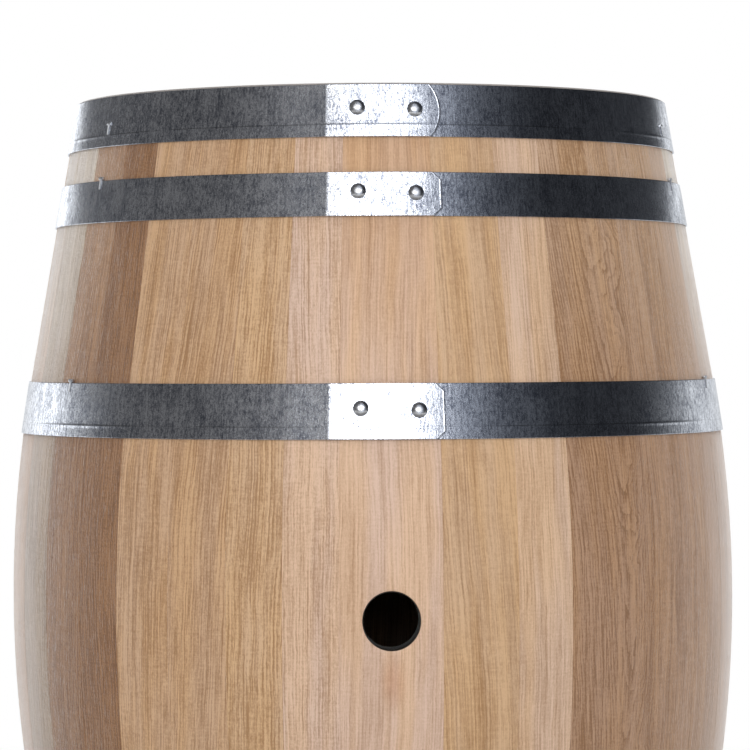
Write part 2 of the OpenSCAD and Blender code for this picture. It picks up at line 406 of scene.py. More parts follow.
# %% [markdown]
# The bung hole is bored with a tapered tool and its wall is then burnt with a hot iron, which closes the pores. The
# wood about the hole keeps a little of that: the rim is nearly black and a faint brown stain lies below it. Both are
# placed by their distance from the middle of the hole.

# %% The burnt rim
BUNG_R, RIM_R = 0.025, 0.0264
BURNT, STAINED = (0.009, 0.007, 0.005), (0.80, 0.60, 0.46)
STAIN_BELOW = 0.054  # how far below the middle of the hole the stain is strongest


def burnt_rim(t, colour, cloud):
    place = t.add("ShaderNodeTexCoord", out="Object")
    up = place.z - HALF
    reach = (place.x * place.x * 1.04 + up * up).math("SQRT")
    burnt = 1 - t.step(reach, RIM_R - 0.0004, RIM_R + 0.0003)
    down = up + STAIN_BELOW
    fall = (place.x * place.x * 5 + down * down).math("SQRT") + (cloud - 0.5) * 0.03
    stain = (1 - t.step(fall, 0.004, 0.034)) * 0.55
    return t.mix(burnt, t.mix(stain, colour, colour * STAINED), BURNT)


stave_oak = oak("Planed stave oak")
bung_oak = oak("Planed and burnt stave oak", finish=burnt_rim, gloss=0.3, nap=0.2)
head_oak = oak("Planed head oak", ring=0.0034)
print("oak nodes:", len(stave_oak.node_tree.nodes))

# %% [markdown]
# ## The section of a stave
# All staves have the same section along the cask: the outside line of the side, the flat end, the bevel inside it,
# and the groove called the croze that holds the head. It is drawn once, flat, with the radius to the right and the
# height upwards, as one face whose points run counterclockwise.

# %% Drawing the section
CROZE_DEPTH, CROZE_W = 0.005, 0.005
HEAD_DEPTH, HEAD_T = 0.038, 0.022
HEAD_MIDDLE = HALF - HEAD_DEPTH - HEAD_T / 2
CROZE_R = side_r(HEAD_MIDDLE, STAVE_T) + CROZE_DEPTH
CHIME, CHIME_LENGTH = 0.012, 0.016
SCRAPED = 0.0001  # keeps the dressed staves just inside the exact ones


def heights(low, high, steps):
    return [low + (high - low) * i / steps for i in range(steps + 1)]


def stave_section():
    bend_top = BEND_R * math.sin(TAPER)
    rows = [*heights(-HALF, -bend_top, 7)[:-1], *heights(-bend_top, bend_top, 28), *heights(bend_top, HALF, 7)[1:]]
    outside = [(side_r(z) - SCRAPED, z) for z in rows]
    low, high = HEAD_MIDDLE - CROZE_W / 2, HEAD_MIDDLE + CROZE_W / 2
    upper = [
        (side_r(HALF, STAVE_T) + CHIME, HALF),
        (side_r(HALF - CHIME_LENGTH, STAVE_T), HALF - CHIME_LENGTH),
        (side_r(high, STAVE_T), high),
        (CROZE_R, high),
        (CROZE_R, low),
        (side_r(low, STAVE_T), low),
    ]
    inside = [(side_r(z, STAVE_T), z) for z in heights(bend_top, -bend_top, 20)]
    lower = [(r, -z) for r, z in reversed(upper)]
    return [*outside, *upper, *inside, *lower]


section = [(r, z, 0.0) for r, z in stave_section()]
print("points in the section:", len(section))

# %% [markdown]
# ## One tree sweeps every stave
# A stave is a slice of a turned shell, so its shape follows one rule: the section, swept through the stave's own
# angle. The tree lays out a grid with one column for each step of the angle and one row for each point of the
# section, moves each grid point to its place, and closes both sides with the section itself. The grid has one row
# more than the section has points, so that its last row meets its first and closes the shell. The width of each stave
# is measured on the exact model.

# %% The sweep
def sweep_tree(finish):
    """Sweeps a flat section from the angle Start through the angle Sweep."""
    t = GeometryTree("Stave sweep", Start=0.0, Sweep=0.2, Steps=8)
    flat = t["Geometry"]
    rows = t.add("GeometryNodeAttributeDomainSize", {0: flat}, component="MESH")
    grid = t.add("GeometryNodeMeshGrid", {"Vertices X": t["Steps"] + 1, "Vertices Y": rows + 1})
    index = t.add("GeometryNodeInputIndex")
    column = ((index + 0.5) / (rows + 1)).math("FLOOR")
    row = (index - column * (rows + 1)).math("MODULO", rows)
    place = t.add("GeometryNodeInputPosition")
    point = t.add(
        "GeometryNodeSampleIndex", {"Geometry": flat, "Value": place, "Index": row}, data_type="FLOAT_VECTOR"
    )

    def turned(geometry, at, angle):
        spot = t.vector(at.x * angle.math("COSINE"), at.x * angle.math("SINE"), at.y + HALF)
        return t.add("GeometryNodeSetPosition", {"Geometry": geometry, "Position": spot})

    sides = turned(grid, point, t["Start"] + t["Sweep"] * (column / t["Steps"]))
    first = turned(flat, place, t["Start"])
    last = t.add("GeometryNodeFlipFaces", {0: turned(flat, place, t["Start"] + t["Sweep"])})
    shell = t.add("GeometryNodeMergeByDistance", {"Geometry": t.join(sides, first, last), "Distance": 2e-6})
    t.end(shell, finish)
    return t


stave_tree = sweep_tree(stave_oak)
print("nodes in the stave's tree:", len(stave_tree.tree.nodes))


# %% Where each stave lies
def slice_of(name):
    """Where a stave starts and how wide it is, in radians, measured on its exact node."""
    low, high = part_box(name)
    middle = math.atan2(low.y + high.y, low.x + high.x)
    turns = [
        (math.atan2(v.co.y, v.co.x) - middle + math.pi) % (2 * math.pi) - math.pi for v in nodes[name].data.vertices
    ]
    return middle + min(turns), max(turns) - min(turns)


print("start and width of the bung stave, in degrees:", [round(math.degrees(a), 2) for a in slice_of("bung_stave")])

# %% [markdown]
# ## Choosing the wood
# A cooper takes staves as they come, so pale, golden and brown ones stand side by side. The front staves have the
# tints of the cask on view: pinkish about the bung hole, golden and pale to its right and then brown, golden and
# honey-coloured to its left and then dark. Those at the very sides carry painted sheen, a pale grey that comes in
# towards the top, and on one of them the whole length is partly paled by it. The rest are shared out by a seeded
# choice among the same tints.

# %% Tints, figures and slants
PINK, GOLD, PALE = srgb(199, 170, 148), srgb(190, 157, 123), srgb(200, 170, 144)
HONEY, BROWN, DARK = srgb(187, 153, 120), srgb(165, 131, 103), srgb(142, 105, 73)
AMBER, TAN = srgb(190, 155, 124), srgb(184, 152, 123)
# The pale grey top tint of the side staves is painted sheen, and the greyed tint of stave_26 is its tone partly paled
# by painted sheen.
GREY_TONE_AND_SHEEN, PAINTED_SHEEN_GREY = srgb(158, 138, 121), srgb(196, 184, 171)
FRONT = {
    "bung_stave": (PINK, AMBER, 0, 0.0, 0.75), "stave_02": (GOLD, GOLD, 0, 0.05, 1.0),
    "stave_03": (PALE, PALE, 0, 0.0, 0.95), "stave_04": (BROWN, TAN, 1, 0.0, 1.6),
    "stave_05": (BROWN, TAN, 0, -0.02, 1.6), "stave_06": (BROWN, TAN, 0, 0.0, 1.3),
    "stave_07": (BROWN, PAINTED_SHEEN_GREY, 0, 0.0, 1.2), "stave_32": (PINK, PINK, 0, 0.01, 1.3),
    "stave_31": (GOLD, GOLD, 0, -0.03, 1.8), "stave_30": (HONEY, HONEY, 0, -0.07, 1.7),
    "stave_29": (HONEY, HONEY, 0, -0.04, 1.6), "stave_28": (DARK, DARK, 0, 0.0, 2.8),
    "stave_27": (DARK, BROWN, 0, 0.0, 2.6), "stave_26": (GREY_TONE_AND_SHEEN, PAINTED_SHEEN_GREY, 0, 0.0, 2.0),
    "stave_25": (BROWN, PAINTED_SHEEN_GREY, 0, 0.0, 1.5), "stave_24": (HONEY, HONEY, 0, 0.02, 1.4),
}
TOP_FROM, TOP_OVER = 0.17, 0.24  # where above the middle the top tint starts, and over what length it comes in
choose = random.Random(41)


def wood_of(name):
    """A stave's tint, its tint near the top, its figure, its slant and how strongly its grain shows."""
    tint, figure = choose.choice([PINK, GOLD, PALE, HONEY, HONEY, BROWN]), choose.choice([0, 0, 0, 1])
    other = tint, tint, figure, choose.uniform(-0.05, 0.05), choose.uniform(0.9, 1.4)
    return FRONT.get(name, other)


def add_grain(piece, place, tint, top_tint, figure, slant, strength):
    """Writes the wood's own space and its tint on a piece. place turns a point into (across, into, along)."""
    seed, shade = choose.uniform(-40, 40), choose.uniform(0.98, 1.02)
    grain = [place(v.co) for v in piece.data.vertices]
    paint_points(piece, "grain", grain)
    paint_points(piece, "wood", [(seed, figure, slant)] * len(grain))
    tops = [min(1.0, max(0.0, (along - TOP_FROM) / TOP_OVER)) for _, _, along in grain]
    paint_points(piece, "tint", [tuple(shade * (a + (b - a) * k) for a, b in zip(tint, top_tint)) for k in tops])
    paint_points(piece, "strength", [strength] * len(grain))


print("staves with a given tint:", len(FRONT), "of", sum("stave" in name for name in nodes))

# %% [markdown]
# ## The bung hole
# The hole is bored straight through its stave once the stave is whole. The tool is a turned form: straight inside
# the wall, and flared over its last two millimetres, because the hot iron rounds the rim. Taking the tool away from
# the swept mesh keeps the wall round, and its middle stays over the exact hole.

# %% Turning a form
def turned_form(name, profile, around=48):
    """Turns a profile of (radius, height) about Z into a closed form. It starts and ends on the axis."""
    tool = bmesh.new()
    turns = [2 * math.pi * i / around for i in range(around)]
    rings = []
    for r, h in profile:
        if r > 0:
            rings.append([tool.verts.new((r * math.cos(a), r * math.sin(a), h)) for a in turns])
        else:
            rings.append([tool.verts.new((0, 0, h))] * around)
    for low, high in zip(rings, rings[1:]):
        for i in range(around):
            corners = [low[i], low[(i + 1) % around], high[(i + 1) % around], high[i]]
            tool.faces.new(list(dict.fromkeys(corners)))
    bmesh.ops.recalc_face_normals(tool, faces=tool.faces)
    mesh = bpy.data.meshes.new(name)
    tool.to_mesh(mesh)
    tool.free()
    return linked(name, mesh)


# %% The boring tool
def bung_cutter():
    flare = [(BUNG_R, -0.0020), (BUNG_R + 0.0004, -0.0008), (RIM_R - 0.0004, -0.0002), (RIM_R + 0.003, 0.003)]
    cutter = turned_form("bung_cutter", [(0, -0.06), (BUNG_R, -0.06), *flare, (0, 0.003)], around=96)
    cutter.data.transform(Matrix.Translation((0, -BILGE_R, HALF)) @ Matrix.Rotation(math.pi / 2, 4, "X"))
    return cutter


# %% Making the staves
STAVE_EDGE, BORED_EDGE, STEP_DEGREES = 0.0003, 0.00012, 1.4


def make_stave(name, cutter=None):
    start, sweep = slice_of(name)
    source = mesh_of(name, section, [tuple(range(len(section)))])
    piece = linked("oak_" + name, source)
    steps = max(6, round(math.degrees(sweep) / STEP_DEGREES))
    shaped(piece, stave_tree, {"Start": start, "Sweep": sweep, "Steps": steps})
    if cutter:
        bore = piece.modifiers.new("bung hole", "BOOLEAN")
        bore.object, bore.operation, bore.solver = cutter, "DIFFERENCE", "EXACT"
        softened(piece, BORED_EDGE)
    else:
        softened(piece, STAVE_EDGE)
    covered(plain(piece), bung_oak if cutter else stave_oak)
    middle = start + sweep / 2

    def own_place(p):
        turn = (math.atan2(p.y, p.x) - middle + math.pi) % (2 * math.pi) - math.pi
        r = math.hypot(p.x, p.y)
        return turn * BILGE_R, side_r(p.z - HALF) - r, p.z - HALF

    add_grain(piece, own_place, *wood_of(name))
    return stands_for(piece, "stave_oak", name)


cutter = bung_cutter()
stave_names = sorted(name for name in nodes if "stave" in name)
staves = [make_stave(name, cutter if name == "bung_stave" else None) for name in stave_names]
bpy.data.objects.remove(cutter)
print("staves:", len(staves), "triangles:", sum(len(p.vertices) - 2 for s in staves for p in s.data.polygons))

# %% [markdown]
# ## The heads
# A head is seven boards, held edge to edge by dowels, and its bevelled rim sits in the croze. The exact boards
# already have the right shape, so each gets a copy whose loose triangles are merged and whose edges are softened.
# The grain runs along the boards. The dowels are sealed between the boards and keep their exact form.

# %% Making the head boards
def make_board(name):
    copy = nodes[name].data.copy()
    tool = bmesh.new()
    tool.from_mesh(copy)
    bmesh.ops.remove_doubles(tool, verts=tool.verts, dist=1e-5)
    bmesh.ops.dissolve_limit(tool, angle_limit=math.radians(0.5), verts=tool.verts, edges=tool.edges)
    tool.to_mesh(copy)
    tool.free()
    piece = linked("oak_" + name, copy)
    covered(plain(softened(piece, STAVE_EDGE)), head_oak)
    low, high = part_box(name)
    middle = (low + high) / 2
    add_grain(piece, lambda p: (p.x - middle.x, p.z - middle.z, p.y), *wood_of(name))
    return stands_for(piece, "head_oak", name)


boards = [make_board(name) for name in sorted(nodes) if "head_board" in name]
print("head boards:", len(boards))

# %% [markdown]
# ## Galvanised steel
# A hoop is a strip of zinc-coated steel, rolled and riveted. The zinc is a bright metal with a fine grain across the
# strip and dull specks, so its gloss changes from place to place and its reflections break up into streaks. A
# painted shadow lies on the lower layer just past the end of the upper one, and painted shade lies in patches along
# the pressed line. The pattern is laid out along and across the strip, so that it follows the strip round the cask.

# %% The steel material
def galvanised(name, light, dull, gloss=0.15, streaks=1.0):
    """Zinc between a light and a dull tone, with more or less of its fine grain."""
    made, t = material(name)
    strip = t.add("ShaderNodeAttribute", out=1, attribute_name="strip")
    u, s = strip.x, strip.z
    fine = t.noise(t.vector(u * 520, strip.y, s * 190), detail=3.0, roughness=0.7)
    lines = t.noise(t.vector(u * 300, strip.y + 5, s * 20), detail=2.0)
    wide = t.noise(t.vector(u * 70, strip.y, s * 60), detail=2.0)
    grit = t.noise(t.vector(u * 950, strip.y, s * 800), detail=1.0)
    speck = t.step(t.noise(t.vector(u * 460, strip.y, s * 400), detail=1.0), 0.60, 0.70)
    cloud = t.noise(t.vector(u * 22, strip.y, s * 30), detail=3.0)
    dulled = ((fine - 0.5) * 2.8 + (lines - 0.5) * 0.9) * streaks + (wide - 0.5) + (cloud - 0.5) * 0.9
    dulled = (dulled + speck * 0.4 + (grit - 0.5) * 1.6 * streaks + 0.42).held()
    seam = t.add("ShaderNodeAttribute", out=2, attribute_name="seam")
    crease = t.add("ShaderNodeAttribute", out=2, attribute_name="crease")
    # This is painted shade: a shadow line on the lower layer just past the end of the upper one, and patches on the
    # upper side of the pressed line.
    painted_shade = t.step(seam, 0.0, 0.0002) * (1 - t.step(seam, 0.0008, 0.0024)) * 0.65
    painted_shade = painted_shade.math("MAXIMUM", t.step(crease, 0.3, 0.7) * t.step(cloud, 0.38, 0.56) * 0.6)
    colour = t.mix(painted_shade, t.mix(dulled, light, dull), (0.03, 0.03, 0.035))
    height = (fine * 1.1 + lines * 0.4) * streaks + wide * 0.5 + cloud * 0.8
    normal = t.add("ShaderNodeBump", {"Strength": 0.26, "Distance": 0.0003, "Height": height})
    surface(t, Base_Color=colour, Metallic=1.0, Roughness=gloss + dulled * 0.12, Normal=normal)
    return made


hoop_steel = galvanised("Galvanised hoop steel", srgb(240, 243, 249), srgb(116, 121, 134))
rivet_steel = galvanised("Domed rivet steel", srgb(240, 241, 243), srgb(196, 198, 203), gloss=0.25, streaks=0.2)
nail_steel = galvanised("Dull nail steel", srgb(240, 241, 243), srgb(200, 202, 206), gloss=0.36, streaks=0.3)
print("steel nodes:", len(hoop_steel.node_tree.nodes))

# %% [markdown]
# ## The hoops
# A real hoop isn't a closed ring. It is one strip that starts under the lap, goes once round the cask, climbs over
# its own start and ends on top of it, with two rivets through both layers. The end on top is rounded on the head
# hoops and has clipped corners on the others. Where it climbs, the strip can't bend sharply: it leaves the wood along
# a straight line that touches the cask, and meets the lap at a slight kink. That kink is why a lap shows as an
# abrupt bright patch. One tree lays such a strip. Its sizes are those of the exact hoops.

# %% Where the hoops sit
HOOP_T, HOOP_GAP = 0.0016, 0.00005
RIVET_PITCH, LAP_BEFORE, LAP_AFTER = 0.051, 0.027, 0.022
LAP_ROUND, LAP_CLIP = 0.038, 0.007
HOOPS = {"head_hoop": (0.001, 0.048), "quarter_hoop": (0.080, 0.040), "bilge_hoop": (0.267, 0.050)}


class Seat:
    """The cone that a hoop's inner face lies on."""

    def __init__(self, kind):
        from_end, self.width = HOOPS[kind]
        self.top = HALF - from_end
        self.low = self.top - self.width
        low_r, top_r = side_r(self.low), side_r(self.top)
        rise = max(
            side_r(z) - low_r - (top_r - low_r) * (z - self.low) / self.width for z in heights(self.low, self.top, 24)
        )
        self.low_r = low_r + rise + HOOP_GAP
        self.slope = math.atan2(low_r - top_r, self.width)
        self.middle_r = self.low_r - (low_r - top_r) / 2

    def radius(self, z):
        return self.low_r - (z - self.low) * math.tan(self.slope)

    def axes(self, turn, side=1):
        """The directions out of, and up, the inner face at a turn from the bung hole."""
        a = turn - math.pi / 2
        level, steep = math.cos(self.slope), math.sin(self.slope)
        out = Vector((math.cos(a) * level, math.sin(a) * level, side * steep))
        up = Vector((-math.cos(a) * steep, -math.sin(a) * steep, side * level))
        return out, up

    def point(self, turn, z, side=1):
        """A point of the inner face, at a height from the middle of the cask."""
        a, r = turn - math.pi / 2, self.radius(z)
        return Vector((r * math.cos(a), r * math.sin(a), HALF + side * z))


for kind in HOOPS:
    print(kind, "radius", round(Seat(kind).middle_r, 4), "slope", round(math.degrees(Seat(kind).slope), 2))

# %% [markdown]
# Each strip has a faint line pressed into it about 10 mm above its lower edge, on the head and bilge hoops. It is
# part of the strip's own section, which is drawn as a row of points from the lower edge up, with its rise outwards.

# %% The section of a strip
BEAD_AT, BEAD_W, BEAD_H = 0.0105, 0.0012, 0.00008


def strip_points(kind):
    """The section of a strip, as (up, out, 0) from its lower edge."""
    width, beaded = HOOPS[kind][1], kind != "quarter_hoop"
    ups = {0.0, 0.0006, width - 0.0006, width, LAP_CLIP, width - LAP_CLIP, *heights(0.0, width, 12)}
    if beaded:
        ups |= {BEAD_AT + BEAD_W * k for k in (-2, -1, -0.5, 0, 0.5, 1, 2)}
    ups = sorted(ups)
    ups = [u for i, u in enumerate(ups) if i == 0 or u - ups[i - 1] > 1e-4]
    return [(u, BEAD_H * math.exp(-(((u - BEAD_AT) / BEAD_W) ** 2)) if beaded else 0.0, 0.0) for u in ups]


print("points across a strip:", {kind: len(strip_points(kind)) for kind in HOOPS})

# %% [markdown]
# The strip is a grid with its columns spread along it. They lie closest at the end on top, whose rounded or clipped
# form and small lip, left by the shears, need them. Each row ends short by what the form takes away at its height.

# %% Along the strip
COLUMNS = 330
RUN_SHARE, CLIMB_SHARE = 0.58, 0.71  # the share of the columns at which the run-up and the lap start
END_REACH = 0.022  # how far back from its tip the end is drawn into its rounded or clipped form
BURR_W, BURR_H = 0.0014, 0.00013  # the lip that the shears leave along the end


def columns_along(t, share):
    """How far along the strip each column stands, before the end is formed."""
    along = t["Begin"] + (t["Run"] - t["Begin"]) * (share / RUN_SHARE).held()
    along = along + (t["Climb"] - t["Run"]) * ((share - RUN_SHARE) / (CLIMB_SHARE - RUN_SHARE)).held()
    to_come = 1 - ((share - CLIMB_SHARE) / (1 - CLIMB_SHARE)).held()
    return along + (t["Finish"] - t["Climb"]) * (1 - to_come * to_come)


def drawn_back(t, up):
    """How much of the end is cut away at a height up the strip: an arc or two clipped corners."""
    from_middle = (up - t["Width"] / 2).math("ABSOLUTE")
    radius = t["Round"].math("MAXIMUM", 1e-4)
    arc = radius - (radius * radius - from_middle * from_middle).math("MAXIMUM", 0.0).math("SQRT")
    arc = arc * (t["Round"] * 1e4).math("MINIMUM", 1.0)
    return arc + (from_middle - t["Width"] / 2 + t["Clip"]).math("MAXIMUM", 0.0)


# %% [markdown]
# The strip lies on its seat, climbs onto its own start and waves a little, as rolled strip does. The climb grows with
# the square of the way, as the distance of a straight line from a circle does, and is eased over its last part.

# %% Out of the seat
TANGENT_SHARE = 0.95  # how much of the run-up is straight before it eases into the lap
SLOW_WAVE, QUICK_WAVE = 0.00020, 0.00005


def climb(t, along):
    """The rise onto the lap, from 0 on the wood to 1 on the first layer."""
    run = ((along - t["Run"]) / (t["Climb"] - t["Run"])).held()
    rest = 1 - run
    eased = run.math("GREATER_THAN", TANGENT_SHARE)
    return run * run / TANGENT_SHARE * (1 - eased) + (1 - rest * rest / (1 - TANGENT_SHARE)) * eased


def waves(t, along, up):
    slow = t.noise(t.vector(along * 9, up * 22, t["Seed"]), detail=1.0) * SLOW_WAVE
    return slow + t.noise(t.vector(along * 38, up * 30, t["Seed"]), detail=1.0) * QUICK_WAVE


# %% The tree that lays a strip
def strip_grid(t):
    """The grid, and for each of its points the section's point and the column's share of the length."""
    rail = t["Geometry"]
    rows = t.add("GeometryNodeAttributeDomainSize", {0: rail}, component="MESH")
    grid = t.add("GeometryNodeMeshGrid", {"Vertices X": t["Columns"] + 1, "Vertices Y": rows})
    index = t.add("GeometryNodeInputIndex")
    column = ((index + 0.5) / rows).math("FLOOR")
    values = {"Geometry": rail, "Value": t.add("GeometryNodeInputPosition"), "Index": index - column * rows}
    point = t.add("GeometryNodeSampleIndex", values, data_type="FLOAT_VECTOR")
    return grid, point, column / t["Columns"]


def strip_tree(finish):
    t = GeometryTree(
        "Lapped strip", Columns=COLUMNS, Low_Radius=0.3, Low_Height=0.4, Slope=0.17, Width=0.05, Middle_Radius=0.3,
        Begin=0.0, Run=1.75, Climb=1.8, Finish=1.9, Layer=0.0016, Round=0.0, Clip=0.007, Side=1.0, Seed=0.0,
    )
    grid, point, share = strip_grid(t)
    drawn = drawn_back(t, point.x)
    along = columns_along(t, share)
    along = along - drawn * (1 - (t["Finish"] - along) / END_REACH).math("MAXIMUM", 0.0)
    lip = (1 - (t["Finish"] - drawn - along) / BURR_W).math("MAXIMUM", 0.0)
    out = point.y + climb(t, along) * t["Layer"] + waves(t, along, point.x) + lip * lip * BURR_H
    reach = t["Low_Radius"] - point.x * t["Slope"].math("SINE") + out * t["Slope"].math("COSINE")
    height = t["Low_Height"] + point.x * t["Slope"].math("COSINE") + out * t["Slope"].math("SINE")
    angle = along / t["Middle_Radius"] - math.pi / 2
    spot = t.vector(reach * angle.math("COSINE"), reach * angle.math("SINE"), height * t["Side"] + HALF)
    strip = t.add("GeometryNodeSetPosition", {"Geometry": grid, "Position": spot})
    turned = t.add("GeometryNodeFlipFaces", {0: strip})
    below = t["Side"].math("LESS_THAN", 0.0)
    strip = t.add("GeometryNodeSwitch", {0: below, 1: strip, 2: turned}, input_type="GEOMETRY")
    # seam is how far a point lies past the end of the upper layer, where the steel paints a shadow line.
    seam = along - (t["Finish"] - drawn - t["Middle_Radius"] * (2 * math.pi))
    # crease is how high a point stands on the upper side of the pressed line, where the steel paints shade.
    crease = point.y / BEAD_H * point.x.math("GREATER_THAN", BEAD_AT + 0.0001)
    place = t.vector(along, t["Seed"], point.x)
    for name, kind, value in (("strip", "FLOAT_VECTOR", place), ("seam", "FLOAT", seam), ("crease", "FLOAT", crease)):
        values = {"Geometry": strip, "Name": name, "Value": value}
        strip = t.add("GeometryNodeStoreNamedAttribute", values, data_type=kind, domain="POINT")
    t.end(strip, finish)
    return t


hoop_tree = strip_tree(hoop_steel)
print("nodes in the strip's tree:", len(hoop_tree.tree.nodes))

# %% Making the hoops
LAYER_GAP, STRIP_EDGE = 0.00002, 0.00035


def make_hoop(end, kind, seed):
    seat = Seat(kind)
    begin = -(RIVET_PITCH / 2 + LAP_BEFORE)
    around = 2 * math.pi * seat.middle_r
    layer = HOOP_T + LAYER_GAP
    run_up = math.sqrt(2 * seat.middle_r * layer / TANGENT_SHARE)
    rounded = kind == "head_hoop"
    piece = linked("steel_" + end + "_" + kind, mesh_of(kind, strip_points(kind)))
    sizes = {
        "Columns": COLUMNS, "Low_Radius": seat.low_r, "Low_Height": seat.low, "Slope": seat.slope, "Width": seat.width,
        "Middle_Radius": seat.middle_r, "Begin": begin + 0.001, "Run": around + begin - run_up,
        "Climb": around + begin, "Finish": around + RIVET_PITCH / 2 + LAP_AFTER, "Layer": layer,
        "Round": LAP_ROUND if rounded else 0.0, "Clip": 0.0 if rounded else LAP_CLIP,
        "Side": 1.0 if end == "top" else -1.0, "Seed": float(seed),
    }
    shaped(piece, hoop_tree, sizes)
    thick = piece.modifiers.new("thickness", "SOLIDIFY")
    thick.thickness, thick.offset = HOOP_T - HOOP_GAP, 1.0
    plain(softened(piece, STRIP_EDGE, 2), sharp=40)
    return stands_for(piece, "hoop_steel", end + "_" + kind)


hoops = [
    make_hoop(end, kind, 7 * i + 3 * j) for i, end in enumerate(("top", "bottom")) for j, kind in enumerate(HOOPS)
]
print("hoops:", len(hoops), "triangles:", sum(len(p.vertices) - 2 for h in hoops for p in h.data.polygons))

# %% [markdown]
# ## Rivets and nails
# Both repeat, so each is made once and set on points by Geometry Nodes. A point carries the directions out of the
# steel and up the cask, which turn the piece the right way. A rivet is a low dome on a short straight rim. A nail is
# a bent tongue of metal: it holds the hoop from above, and its spike goes into the wood.

# %% Setting one form on many points
def setting_tree(name, finish):
    t = GeometryTree(name, Form="object")
    form = t.add("GeometryNodeObjectInfo", {0: t["Form"]}, out="Geometry", transform_space="ORIGINAL")
    out = t.add("GeometryNodeInputNamedAttribute", {"Name": "out"}, data_type="FLOAT_VECTOR")
    up = t.add("GeometryNodeInputNamedAttribute", {"Name": "up"}, data_type="FLOAT_VECTOR")
    turn = t.add(
        "FunctionNodeAxesToRotation", {"Primary Axis": out, "Secondary Axis": up}, primary_axis="Z", secondary_axis="Y"
    )
    points = t.add("GeometryNodeMeshToPoints", {0: t["Geometry"]})
    placed = t.add("GeometryNodeInstanceOnPoints", {"Points": points, "Instance": form, "Rotation": turn})
    t.end(placed, finish)
    return t


def set_on(name, tree, form, places):
    """Sets a form on each place, which is a point with the directions out and up."""
    holder = linked(name, mesh_of(name, [tuple(p) for p, _, _ in places]))
    paint_points(holder, "out", [tuple(o) for _, o, _ in places])
    paint_points(holder, "up", [tuple(u) for _, _, u in places])
    shaped(holder, tree, {"Form": form})
    plain(holder, sharp=40)
    paint_points(holder, "strip", [(v.co.x, v.co.y, v.co.z) for v in holder.data.vertices])
    bpy.data.objects.remove(form)
    return holder


# %% The form of a rivet
RIVET_HEAD_R, RIVET_HEAD_H, RIVET_RIM = 0.007, 0.0036, 0.0005
LEFT_RISE, RIGHT_RISE = 0.0022, 0.0005  # how far above the strip's middle each rivet of a lap sits
RIVET_SUNK = 0.00003


def rivet_form():
    dome_h = RIVET_HEAD_H - RIVET_RIM
    rim = [(0, 0), (RIVET_HEAD_R - 0.0002, 0), (RIVET_HEAD_R, 0.0002), (RIVET_HEAD_R, RIVET_RIM)]
    shares = [0.98, 0.94, 0.88, 0.8, 0.7, 0.58, 0.42, 0.22, 0.0]
    dome = [(RIVET_HEAD_R * k, RIVET_RIM + dome_h * (1 - k**3.6)) for k in shares]
    return turned_form("rivet_form", rim + dome, around=40)


def rivet_places():
    for side in (1, -1):
        for kind in HOOPS:
            seat = Seat(kind)
            z = (seat.low + seat.top) / 2
            for way, rise in ((-1, LEFT_RISE), (1, RIGHT_RISE)):
                turn = way * RIVET_PITCH / 2 / seat.middle_r
                out, up = seat.axes(turn, side)
                yield seat.point(turn, z, side) + up * rise + out * (2 * HOOP_T - RIVET_SUNK), out, up


rivets = set_on("steel_hoop_rivets", setting_tree("Set rivets", rivet_steel), rivet_form(), list(rivet_places()))
stands_for(rivets, "rivet_steel", "hoop_rivets")
print("rivet faces:", len(rivets.data.polygons))

# %% The form of a nail
NAIL_W, NAIL_TONGUE, NAIL_HEAD_W, NAIL_HEAD_H, NAIL_T = 0.0034, 0.009, 0.007, 0.0026, 0.0012
NAIL_LIFT, SPIKE_R, SPIKE_LENGTH, HEAD_NAIL_IN = 0.0002, 0.0012, 0.014, 0.027
NAIL_TURNS = (-59, 68, 184)


def plate(name, front, low, high):
    """A flat form with the given outline, between two heights."""
    count = len(front)
    points = [(x, y, low) for x, y in front] + [(x, y, high) for x, y in front]
    faces = [tuple(reversed(range(count))), tuple(range(count, 2 * count))]
    faces += [(i, (i + 1) % count, count + (i + 1) % count, count + i) for i in range(count)]
    return linked(name, mesh_of(name, points, faces))


def nail_form(name, foot):
    """A nail whose head reaches back to a given height over the hoop's inner face. Z is out and Y is up."""
    half, top, tip = NAIL_HEAD_W / 2, NAIL_HEAD_H / 2, NAIL_HEAD_H / 2 + NAIL_LIFT + NAIL_TONGUE
    head = plate(name, [(-half, -top), (half, -top), (half, top), (-half, top)], foot, HOOP_T + NAIL_T)
    wide, narrow = NAIL_W / 2, NAIL_W / 3
    outline = [(-narrow, 0.0008 - tip), (0.0006 - narrow, -tip), (narrow - 0.0006, -tip), (narrow, 0.0008 - tip)]
    tongue = plate("tongue", [*outline, (wide, 0), (-wide, 0)], HOOP_T, HOOP_T + NAIL_T * 0.75)
    shaft = [(0, -SPIKE_LENGTH), (SPIKE_R, -SPIKE_LENGTH * 0.7), (SPIKE_R, HOOP_T), (0, HOOP_T)]
    spike = turned_form("spike", shaft, around=12)
    for part in (tongue, spike):
        joint = head.modifiers.new(part.name, "BOOLEAN")
        joint.object, joint.operation, joint.solver = part, "UNION", "EXACT"
    plain(softened(head, 0.00025, 2))
    for part in (tongue, spike):
        bpy.data.objects.remove(part)
    return head


def nail_places(kinds):
    """Three nails at each hoop: over its upper edge, or lower down on the head hoop."""
    for side in (1, -1):
        for kind in kinds:
            seat = Seat(kind)
            down = HEAD_NAIL_IN if kind == "head_hoop" else -(NAIL_LIFT + NAIL_HEAD_H / 2)
            for turn in NAIL_TURNS:
                out, up = seat.axes(math.radians(turn), side)
                yield seat.point(math.radians(turn), seat.top, side) - up * down, out, up


nail_tree = setting_tree("Set nails", nail_steel)
for name, foot, kinds in (
    ("steel_edge_nails", 0.0, ("quarter_hoop", "bilge_hoop")), ("steel_face_nails", HOOP_T, ("head_hoop",))
):
    nails = set_on(name, nail_tree, nail_form("nail_form", foot), list(nail_places(kinds)))
    stands_for(nails, "nail_steel", "hoop_nails")
    print(name, "faces:", len(nails.data.polygons))

# %% [markdown]
# ## The dowels
# The dowels keep their exact shape and only get a finish. They are turned from a plain hardwood, so the material
# is a simple straight grain in the piece's own coordinates.

